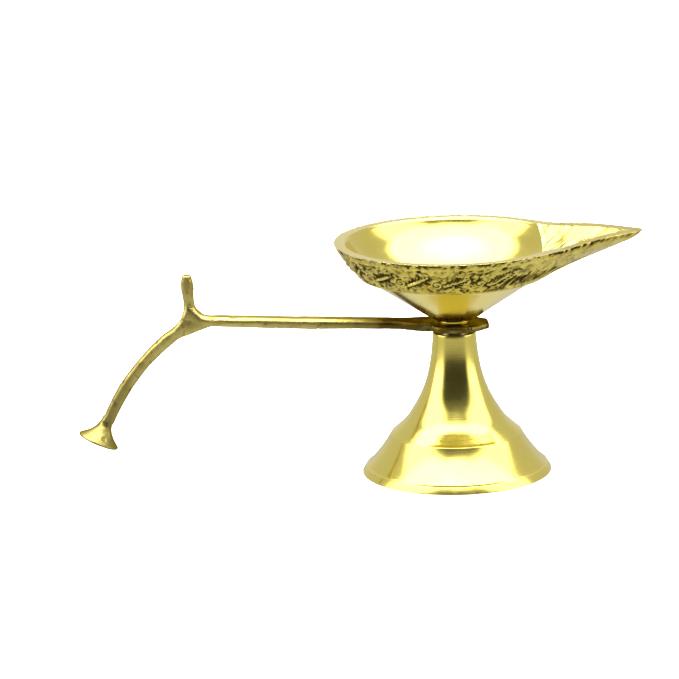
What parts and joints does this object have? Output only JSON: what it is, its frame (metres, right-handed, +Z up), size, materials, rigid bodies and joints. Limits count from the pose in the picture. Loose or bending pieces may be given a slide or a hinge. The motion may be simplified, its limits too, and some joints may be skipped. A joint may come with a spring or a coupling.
{
  "type": "oil lamp",
  "caption": "Hand-held brass oil lamp: a shallow round bowl with a pointed wick spout and a long curved handle, clamped together on a flared hollow pedestal.",
  "frame": {"origin": "on the pedestal's axis at floor level", "axes": "+Z up along the pedestal's axis, +X towards the tip of the wick spout, the handle lies towards -X"},
  "size_m": [0.1841, 0.076, 0.0776],
  "materials": {
    "polished_brass": "turned and polished",
    "cast_brass": "rough as-cast, dull",
    "plated_steel": "zinc plated"
  },
  "bodies": {
    "pedestal": {"pedestal": "polished_brass", "seat_washer": "plated_steel"},
    "handle": {"handle": "cast_brass"},
    "bowl": {"bowl": "polished_brass", "stud": "plated_steel"},
    "nut_washer": {"nut_washer": "plated_steel"},
    "nut": {"nut": "plated_steel"}
  },
  "joints": [
    {"name": "handle_swivel", "type": "hinge", "parent": "pedestal", "child": "handle", "pos_m": [0, 0, 0.048], "axis": [0, 0, 1], "continuous": true},
    {"name": "bowl_turn", "type": "hinge", "parent": "pedestal", "child": "bowl", "pos_m": [0, 0, 0.049], "axis": [0, 0, 1], "continuous": true},
    {"name": "washer_drop", "type": "slide", "parent": "bowl", "child": "nut_washer", "axis": [0, 0, -1], "range_m": [0, 0.0056]},
    {"name": "nut_turn", "type": "hinge", "parent": "nut_washer", "child": "nut", "pos_m": [0, 0, 0.027], "axis": [0, 0, -1], "range_deg": [0, 2520]}
  ],
  "couplings": [
    {"joint": "nut_turn", "follows": "washer_drop", "rad_per_m": 7854}
  ]
}
